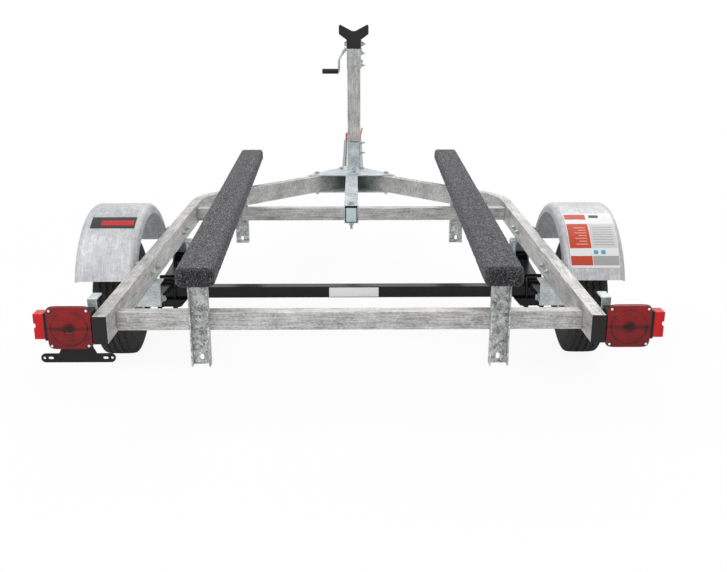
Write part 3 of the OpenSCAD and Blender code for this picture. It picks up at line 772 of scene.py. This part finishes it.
def chain_tree():
    """Welded links along the edges of the seed mesh, each turned a quarter from the last."""
    tree = Tree("chain", {"Pitch": "float", "Width": "float", "Wire": "float", "Material": "material"})
    run = tree.add("GeometryNodeMeshToCurve", None, {0: tree.get("Geometry")})
    even = tree.add("GeometryNodeResampleCurve", {"mode": "LENGTH"},
                    {"Curve": run, "Length": tree.get("Pitch")})
    to_points = put(tree.group, "GeometryNodeCurveToPoints", {"mode": "EVALUATED"}, {0: even})
    order = tree.add("GeometryNodeInputIndex")
    quarter = tree.math("MULTIPLY", order, math.pi / 2)
    twist = tree.add("FunctionNodeAxisAngleToRotation", None, {"Axis": (0, 0, 1), "Angle": quarter})
    turned = tree.add("FunctionNodeRotateRotation", {"rotation_space": "LOCAL"},
                      {0: to_points.outputs["Rotation"], 1: twist})
    loop = tree.add("GeometryNodeCurvePrimitiveCircle", None, {"Resolution": 14, "Radius": 0.5})
    stretch = tree.add("ShaderNodeCombineXYZ", None,
                       {"X": tree.get("Width"), "Y": tree.math("MULTIPLY", tree.get("Pitch"), 1.34), "Z": 1.0})
    oval = tree.add("GeometryNodeTransform", None,
                    {"Geometry": loop, "Scale": stretch, "Rotation": (math.pi / 2, 0, 0)})
    wire = tree.add("GeometryNodeCurvePrimitiveCircle", None, {"Resolution": 7, "Radius": tree.get("Wire")})
    link = tree.add("GeometryNodeCurveToMesh", None, {"Curve": oval, "Profile Curve": wire})
    tree.finish(tree.add("GeometryNodeInstanceOnPoints", None,
                         {"Points": to_points.outputs[0], "Instance": link, "Rotation": turned}))
    return tree


FASTENERS = fastener_tree()
CHAIN = chain_tree()


def seed(name, places, joined=False):
    mesh = bpy.data.meshes.new(name)
    edges = [(i, i + 1) for i in range(len(places) - 1)] if joined else []
    mesh.from_pydata([tuple(p) for p in places], edges, [])
    return mesh


def bolts(name, places, direction, across, height, washer=0.0, end=0.6, material=ZINC, body="trailer"):
    """Hexagon fasteners at places in metres, facing a direction; their sizes are in millimetres."""
    mesh = FASTENERS.grown(seed(name, places), {
        "Across": across * MM, "Height": height * MM, "Washer": (washer or 0.78 * across) * MM,
        "End": end * MM, "Direction": direction, "Material": material})
    smooth(mesh, 30)
    return add_piece(name, mesh, body, material)


LEFT, RIGHT, REAR, FRONT, UP, DOWN = (-1, 0, 0), (1, 0, 0), (0, -1, 0), (0, 1, 0), (0, 0, 1), (0, 0, -1)
REAR_END = low_of("left_rail").y
DECK = high_of("left_rail").z
RAIL_INNER = low_of("right_rail_cap").x
RAIL_WIDTH = 38.1 * MM
FRAME_UNDER = low_of("left_rail").z
POST_X = middle_of("winch_post").x
AXLE_Y = middle_of("axle").y


def station(metres):
    """Place along Y of a station counted from the rear end of the rails."""
    return REAR_END + metres


def frame_fasteners():
    """Bolts of the cross members, hangers, springs, axle clamps and corner plates."""
    eye_gap, hanger_half = 13 * MM, 37.2 * MM
    for side, sign in SIDES.items():
        outboard, inboard = (RIGHT, LEFT) if sign > 0 else (LEFT, RIGHT)
        eyes = [low_of(side + "_spring").y + eye_gap, high_of(side + "_spring").y - eye_gap]
        through_rail = [(sign * RAIL_INNER, y + dy, DECK - 38 * MM) for y in eyes for dy in (-0.0375, 0.0375)]
        bolts(side + "_rail_nuts", through_rail, inboard, 14, 8, 13, 5)
        for end in ("rear", "front"):
            member = middle_of(end + "_cross_member")
            outer = [(sign * (RAIL_INNER + RAIL_WIDTH), member.y + dy, member.z) for dy in (-0.011, 0.011)]
            bolts(f"{side}_{end}_member_bolts", outer, outboard, 13, 6)
        middle, pin_z = middle_of(side + "_hangers").x, low_of(side + "_hangers").z + 18 * MM
        bolts(side + "_pin_heads", [(middle - hanger_half, y, pin_z) for y in eyes], LEFT, 17, 8, 13)
        bolts(side + "_pin_nuts", [(middle + hanger_half, y, pin_z) for y in eyes], RIGHT, 17, 9, 13, 3)
        clamp_z = low_of(side + "_axle_clamp").z + 22 * MM
        under = [(middle + dx, AXLE_Y + dy, clamp_z) for dx in (-0.0275, 0.0275) for dy in (-0.0253, 0.0253)]
        bolts(side + "_clamp_nuts", under, DOWN, 15, 9, 12, 1, BLACK_PAINT)
    top, bottom = high_of("upper_corner_plate").z, low_of("lower_corner_plate").z
    plate_rear = low_of("upper_corner_plate").y
    spots = [(turn * x, plate_rear + y) for turn in (-1, 1) for x, y in ((0.168, 0.050), (0.052, 0.182))]
    bolts("plate_heads", [(x, y, top) for x, y in spots], UP, 17, 7, 14)
    bolts("plate_nuts", [(x, y, bottom) for x, y in spots], DOWN, 17, 9, 14, 6)


def bracket_fasteners():
    """U-bolts with their nuts on the bunk brackets, and a lag screw into each plank."""
    proud = 8 * MM
    for row, facing, sign in (("rear", REAR, -1), ("front", FRONT, 1)):
        beam_low, beam_high = low_of(row + "_cross_member"), high_of(row + "_cross_member")
        heights = (beam_low.z - proud, beam_high.z + proud)
        far_y = (beam_low.y if sign > 0 else beam_high.y) - sign * 6 * MM
        for side in SIDES:
            node = f"{row}_{side}_bunk_bracket"
            low, high = low_of(node), high_of(node)
            x = middle_of(node).x
            web_y = low.y + 23 * MM if sign < 0 else high.y - 23 * MM
            bolts(node + "_nuts", [(x, web_y, z) for z in heights], facing, 15, 8, 14, 12)
            bolts(node + "_lag", [(x, web_y, high.z - 21 * MM)], facing, 16, 6, 15)
            bars = [((x, web_y, z), (x, far_y, z)) for z in heights]
            bars.append(tuple((x, far_y, z) for z in heights))
            rods(node + "_ubolt", bars, 4.5)


def rods(name, ends, radius, material=ZINC, sides=12, body="trailer"):
    """Round bars between pairs of points in metres; the radius is in millimetres."""
    def build(work):
        for a, b in ends:
            a, b = Vector(a), Vector(b)
            turn = (b - a).to_track_quat("Z", "Y").to_matrix().to_4x4()
            bmesh.ops.create_cone(work, cap_ends=True, segments=sides, radius1=radius * MM, radius2=radius * MM,
                                  depth=(b - a).length, matrix=Matrix.Translation((a + b) / 2) @ turn)

    return built(name, build, 40, body, material)


def block_piece(name, low, high, material, radius):
    """A small box between two corners, with its edges softened by a radius in millimetres."""
    low, high = Vector(low), Vector(high)

    def build(work):
        bmesh.ops.create_cube(work, size=1, matrix=Matrix.Translation((low + high) / 2)
                              @ Matrix.Diagonal((*(high - low), 1)))
        bmesh.ops.bevel(work, geom=work.edges[:], offset=radius * MM, segments=2, affect="EDGES", profile=0.5)

    return built(name, build, 40, "trailer", material)


def post_fasteners():
    """Bolts of the post's foot, the winch, the bow stop and the tongue's rear end."""
    post_low, post_high = low_of("winch_post"), high_of("winch_post")
    post_y, top = middle_of("winch_post").y, post_high.z
    foot_rear, foot_top = low_of("post_foot_bracket").y, high_of("post_foot_bracket").z
    # A thin black strip on the foot bracket's top edge: painted shade of the gap under the post
    block_piece("foot_bracket_shim", (POST_X - 21 * MM, post_low.y - 4.6 * MM, foot_top),
                (POST_X + 21 * MM, post_low.y - 0.4 * MM, foot_top + 3 * MM), BLACK_RUBBER, 0.5)
    frame_x = high_of("winch_frame").x - 8 * MM
    drum = middle_of("winch_drum")
    ear_low, ear_high = low_of("bow_stop_bracket"), high_of("bow_stop_bracket")
    ear_z = ear_high.z - 0.018
    tongue_y = low_of("front_cross_member").y + 0.019
    side_spots = ((0.018, 0.074), (0.044, 0.017), (0.018, 0.017))
    for name, places, direction, *sizes in (
            ("foot_floor_bolts", [(POST_X, foot_rear + y, DECK + 10 * MM) for y in (0.035, 0.12)], UP, 16, 8, 13, 4),
            ("post_cross_bolt_79", [(post_high.x, post_y, DECK + 0.079)], RIGHT, 15, 8, 12, 14),
            ("post_cross_bolt_129", [(post_high.x, post_y, DECK + 0.129)], RIGHT, 15, 8, 12, 14),
            ("winch_rear_heads", [(POST_X, post_low.y, top - h) for h in (0.013, 0.038)], REAR, 14, 7, 11),
            ("winch_side_nuts", [(frame_x, post_low.y + y, top - h) for y, h in side_spots], RIGHT, 15, 8, 12, 9),
            ("drum_shaft_nut", [(frame_x + 1 * MM, drum.y, drum.z)], RIGHT, 19, 7, 14, 1),
            ("bow_stop_nut", [(ear_high.x, post_y, ear_z)], RIGHT, 17, 9, 14, 8),
            ("bow_stop_head", [(ear_low.x, post_y, ear_z)], LEFT, 17, 7, 14),
            ("tongue_bolt_end", [(0, tongue_y, low_of("tongue").z)], DOWN, 18, 10, 15, 16),
            ("tongue_bolt_head", [(0, tongue_y, DECK)], UP, 18, 8, 15)):
        bolts(name, places, direction, *sizes)


def rail_rivets():
    """Low round rivets on the rails' tops and the cross members' rear faces."""
    front_y = low_of("front_cross_member").y

    def build(work):
        for sign in SIDES.values():
            for y in (station(0.080), station(0.112), front_y + 0.019):
                dome(work, (sign * (RAIL_INNER + 19 * MM), y, DECK), UP, 5.2 * MM)
            for node in ("rear_cross_member", "front_cross_member"):
                dome(work, (sign * (RAIL_INNER - 30 * MM), low_of(node).y, middle_of(node).z), REAR, 4.5 * MM)

    built("frame_rivets", build, 60, "trailer", ZINC)


def dome(work, place, direction, radius, height=0.45):
    """A closed low dome with its flat side on a face."""
    turn = Vector(direction).to_track_quat("Z", "Y").to_matrix().to_4x4()
    spot = Matrix.Translation(Vector(place)) @ turn
    rings, sides = 4, 20
    rows = []
    for i in range(rings):
        lift = math.pi / 2 * i / rings
        reach, rise = radius * math.cos(lift), radius * height * math.sin(lift)
        rows.append([work.verts.new(spot @ Vector((reach * math.cos(a), reach * math.sin(a), rise)))
                     for a in circle(sides)])
    skin(work, rows)
    work.faces.new(rows[-1])
    work.faces.new(rows[0][::-1])


# ---- Wheels ----

def wheel_fasteners():
    """Five nuts on studs round each hub, and a valve."""
    for side, sign in SIDES.items():
        hub_low, hub_high = low_of(side + "_hub"), high_of(side + "_hub")
        centre = (hub_low + hub_high) / 2
        outboard = hub_high.x if sign > 0 else hub_low.x
        disc_x = outboard - sign * 29.5 * MM
        ring = [(disc_x, centre.y + 0.0525 * math.cos(a), centre.z + 0.0525 * math.sin(a))
                for a in (math.radians(90 + 72 * k) for k in range(5))]
        bolts(side + "_wheel_nuts", ring, (sign, 0, 0), 19, 11, 11.5, 5, body=side + "_wheel")
        valve = Vector((disc_x + sign * 4 * MM, centre.y, centre.z + 0.083))
        rods(side + "_valve", [(valve, valve + Vector((sign * 26 * MM, 0, 4 * MM)))], 4.2, BLACK_RUBBER,
             body=side + "_wheel")


# ---- Lights ----

def lens_depth_at(radius, half):
    """How far the lens's face lies ahead of its rearmost point: a low dome in a raised ring on a flat plate."""
    ring_low, ring_high = 0.76 * half, 0.83 * half
    if radius > ring_high:
        return 3.6
    if radius > ring_low:
        return 2.2
    eye = 0.22 * half
    if radius < eye:
        return 0.9 + 1.2 * (radius / eye) ** 2
    groove = 0.5 * (1 + math.cos((radius - eye) / (0.115 * half) * 2 * math.pi))
    return 0.9 + 1.5 * ((radius - eye) / (ring_low - eye)) ** 2 + 0.45 * (1 - groove)


def tail_lens(side):
    """Square lens with slightly bowed sides and rounded corners, a ringed dome and a black gasket."""
    node = side + "_light_lens"
    low, high = low_of(node), high_of(node)
    centre = (low + high) / 2
    half = (high.x - low.x) / 2
    turns, rings = 192, 58
    round_angles = circle(turns)

    def edge(angle, size):
        """How far a rounded square of this half width reaches at an angle."""
        return size / (abs(math.cos(angle)) ** 8 + abs(math.sin(angle)) ** 8) ** (1 / 8)

    def build(work):
        middle = work.verts.new((centre.x, low.y + lens_depth_at(0, half / MM) * MM, centre.z))
        rows = []
        for i in range(1, rings + 1):
            row = []
            for angle in round_angles:
                reach = edge(angle, half) * i / rings
                sink = (lens_depth_at(reach / MM, half / MM) + (2.2 if i == rings else 0)) * MM
                row.append(work.verts.new((centre.x + reach * math.cos(angle), low.y + sink,
                                           centre.z + reach * math.sin(angle))))
            rows.append(row)
        back = [work.verts.new((v.co.x, high.y - 2.5 * MM, v.co.z)) for v in rows[-1]]
        rows.append(back)
        for k in range(turns):
            work.faces.new((middle, rows[0][k], rows[0][(k + 1) % turns]))
        skin(work, rows)
        work.faces.new(back)

    built(node + "_moulded", build, 28, "trailer", LENS, (node,))

    def gasket(work):
        rows = []
        front_y, back_y = high.y - 2.6 * MM, high.y + 0.2 * MM
        for y, grow in ((front_y, -0.6), (front_y, 1.0), (back_y, 1.0), (back_y, -0.6)):
            reaches = [(edge(a, half) + grow * MM, a) for a in round_angles]
            rows.append([work.verts.new((centre.x + reach * math.cos(a), y, centre.z + reach * math.sin(a)))
                         for reach, a in reaches])
        skin(work, rows)
        work.faces.new(rows[0])
        work.faces.new(rows[-1])

    built(side + "_lens_gasket", gasket, 30, "trailer", BLACK_PLASTIC)
    corner = 0.83 * half
    spots = [(centre.x + dx * corner, low.y + 3.2 * MM, centre.z + dz * corner) for dx in (-1, 1) for dz in (-1, 1)]

    def screws(work):
        for spot in spots:
            dome(work, spot, REAR, 3.8 * MM, 0.6)

    # Flat black discs round each screw: painted shade of the recesses the screws sit in
    def painted_well_shade(work):
        for x, y, z in spots:
            facing = Matrix.Translation((x, y + 0.1 * MM, z)) @ Matrix.Rotation(math.pi / 2, 4, "X")
            bmesh.ops.create_cone(work, cap_ends=True, segments=28, radius1=6.2 * MM, radius2=5.4 * MM,
                                  depth=1.0 * MM, matrix=facing)

    built(side + "_lens_screws", screws, 40, "trailer", PRINT_WHITE)
    built(side + "_lens_wells", painted_well_shade, 40, "trailer", BLACK_PLASTIC)


# ---- Labels ----

FENDER_RISE = 21 * MM  # the fender's circle stands this far above the wheel's centre
FILM = 1.6 * MM


def fender_patch(name, side, x_share, angles, material, lift):
    """A thin film that follows the fender's curve: x as shares of its width, angles up from its rear."""
    low, high = low_of(side + "_fender"), high_of(side + "_fender")
    centre_z = high_of("left_tyre").z / 2 + FENDER_RISE
    radius = high.z - centre_z
    columns, rows = 6, 24
    across = [low.x + (x_share[0] + (x_share[1] - x_share[0]) * j / columns) * (high.x - low.x)
              for j in range(columns + 1)]
    turns = [math.radians(angles[0] + (angles[1] - angles[0]) * i / rows) for i in range(rows + 1)]

    def build(work):
        sheets = [[[work.verts.new((x, AXLE_Y - reach * math.cos(a), centre_z + reach * math.sin(a))) for x in across]
                   for a in turns] for reach in (radius + lift, radius + lift - FILM)]
        top, under = sheets
        for i in range(rows):
            for j in range(columns):
                for sheet in sheets:
                    work.faces.new((*sheet[i][j:j + 2], *sheet[i + 1][j:j + 2][::-1]))
        rim = [(0, j) for j in range(columns)] + [(i, columns) for i in range(rows)]
        rim += [(rows, j) for j in range(columns, 0, -1)] + [(i, 0) for i in range(rows, 0, -1)]
        for a, b in zip(rim, rim[1:] + rim[:1]):
            work.faces.new((top[a[0]][a[1]], top[b[0]][b[1]], under[b[0]][b[1]], under[a[0]][a[1]]))

    built(name, build, 30, "trailer", material)


def labels():
    """Blank labels: a dark one with a red band on the left fender, a pale one in blocks on the right."""
    base, ink, top_ink = 1.7 * MM, 2.0 * MM, 2.3 * MM
    fender_patch("left_label", "left", (0.17, 0.90), (58.5, 69.0), PRINT_BLACK, base)
    fender_patch("left_label_band", "left", (0.34, 0.88), (60.6, 65.4), PRINT_RED, ink)
    fender_patch("right_label", "right", (0.10, 0.90), (29.5, 72.0), PRINT_WHITE, base)
    near, far, column, foot = (0.11, 0.46), (0.47, 0.89), (42.2, 61.0), (31.0, 37.0)
    parts = [("head", near, (65.4, 70.6), PRINT_ORANGE, ink), ("column", near, column, PRINT_ORANGE, ink),
             ("foot", near, foot, PRINT_ORANGE, ink), ("tag", (0.52, 0.68), (67.0, 69.8), PRINT_BLACK, ink),
             ("panel", far, column, PRINT_PALE, ink), ("corner", far, foot, PRINT_GREY, ink)]
    for k in range(8):
        parts.append((f"row_{k}", (0.51, 0.84), (57.6 - 1.9 * k, 58.1 - 1.9 * k), PRINT_GREY, top_ink))
    for k in range(7):
        line = (57.2 - 2.1 * k, 57.9 - 2.1 * k)
        parts.append((f"line_{k}", (0.22 + 0.06 * (k % 2), 0.41), line, PRINT_PINK, top_ink))
    for k in range(2):
        parts.append((f"square_{k}", (0.49 + 0.12 * k, 0.56 + 0.12 * k), (38.2, 40.8), PRINT_BLUE, ink))
    for name, x_share, angles, material, lift in parts:
        fender_patch("right_label_" + name, "right", x_share, angles, material, lift)


# ---- Tongue, chains and small parts ----

def safety_chain(side, sign, half):
    """A chain along the tongue's side with its bolt and hook, and the blank orange tag at its front end."""
    aside = 9 * MM if side == "right" else 0.0
    x, start, reach = sign * (half + 13 * MM) + aside, station(2.23), 1.27
    height = FRAME_UNDER + 52 * MM
    points = [(x, start + reach * i / 24, height - 34 * MM * math.sin(math.pi * i / 24)) for i in range(25)]
    mesh = CHAIN.grown(seed(side + "_chain_run", points, True),
                       {"Pitch": 26 * MM, "Width": 19 * MM, "Wire": 3.1 * MM, "Material": ZINC})
    smooth(mesh, 50)
    add_piece(side + "_safety_chain", mesh, "trailer", ZINC)
    bolts(side + "_chain_bolt", [(sign * half, start - 8 * MM, height)], (sign, 0, 0), 17, 9, 14, 8)
    hook(side, x, start + reach, FRAME_UNDER + 50 * MM)
    inner, outer = sorted((sign * (half + 0.5 * MM), sign * (half + 14 * MM) + 1.6 * aside))
    block_piece(side + "_tongue_tag", (inner, station(3.54), DECK - 31 * MM),
                (outer, station(3.62), DECK + 13 * MM), PRINT_ORANGE, 3)


def hook(side, x, y, z):
    """An S hook at the front end of a chain."""
    turns = []
    for first, last, shift, side_up in ((-3, 10, 0, 1), (1, 12, 24 * MM, -1)):
        for angle in (math.radians(20 * k) for k in range(first, last)):
            turns.append((x, y + shift + 12 * MM * (1 - math.cos(angle)), z + side_up * 11 * MM * math.sin(angle)))
    rods(side + "_chain_hook", list(zip(turns, turns[1:])), 3.6, sides=10)


def tongue_details():
    """Both safety chains, the plugged rear end of the tongue with a dark rim of painted shade, a brass clip and the
    crank's round arm.
    """
    half = high_of("tongue").x
    for side, sign in SIDES.items():
        safety_chain(side, sign, half)
    end_y = low_of("tongue").y
    # A black block behind the end plate, showing as a dark rim round it: painted shade of the collar's edge and the
    # gap above the plate
    block_piece("tongue_end_rim", (-25 * MM, end_y + 0.5 * MM, FRAME_UNDER + 3.4 * MM),
                (25 * MM, end_y + 2.5 * MM, DECK - 10.5 * MM), BLACK_PLASTIC, 0.8)
    block_piece("tongue_end_plate", (-21 * MM, end_y - 0.5 * MM, FRAME_UNDER + 7 * MM),
                (21 * MM, end_y + 1.5 * MM, DECK - 12 * MM), END_CAP, 0.9)
    clip = Vector((half + 26 * MM, station(3.60), DECK + 4 * MM))
    rods("chain_clip", [(clip, clip + Vector((10 * MM, 0, 42 * MM)))], 5, BRASS)
    crank_y = middle_of("crank_grip").y
    arm_x, crank_z = high_of("crank_grip").x + 3.4 * MM, high_of("winch_post").z - 4 * MM
    elbow = (arm_x, crank_y, crank_z - 50 * MM)
    arm = [((POST_X - 48 * MM, crank_y, crank_z), elbow), (elbow, (arm_x, crank_y, crank_z - 104 * MM))]
    rods("crank_arm_bar", arm, 5.6, PALE_ZINC, body="crank")


def axle_plate():
    """Blank pale plate on the axle's rear face."""
    x, z = 10 * MM, high_of("axle").z - 20 * MM
    block_piece("axle_plate", (x - 87.5 * MM, AXLE_Y - 21.2 * MM, z - 17 * MM),
                (x + 87.5 * MM, AXLE_Y - 20 * MM, z + 17 * MM), PRINT_WHITE, 0.3)


def leg_pivot_nut():
    node = "leg_bracket"
    bolts("leg_pivot_nut", [(high_of(node).x, middle_of(node).y, low_of(node).z + 20 * MM)], RIGHT, 19, 7, 14, 2)


for side in SIDES:
    tail_lens(side)
    rounded(side + "_side_marker", 1.6 * MM, 3)
for side in SIDES:
    rounded(side + "_fender", 0.7 * MM, 2, 30)
labels()
wheel_fasteners()
frame_fasteners()
bracket_fasteners()
post_fasteners()
rail_rivets()
tongue_details()
axle_plate()
leg_pivot_nut()
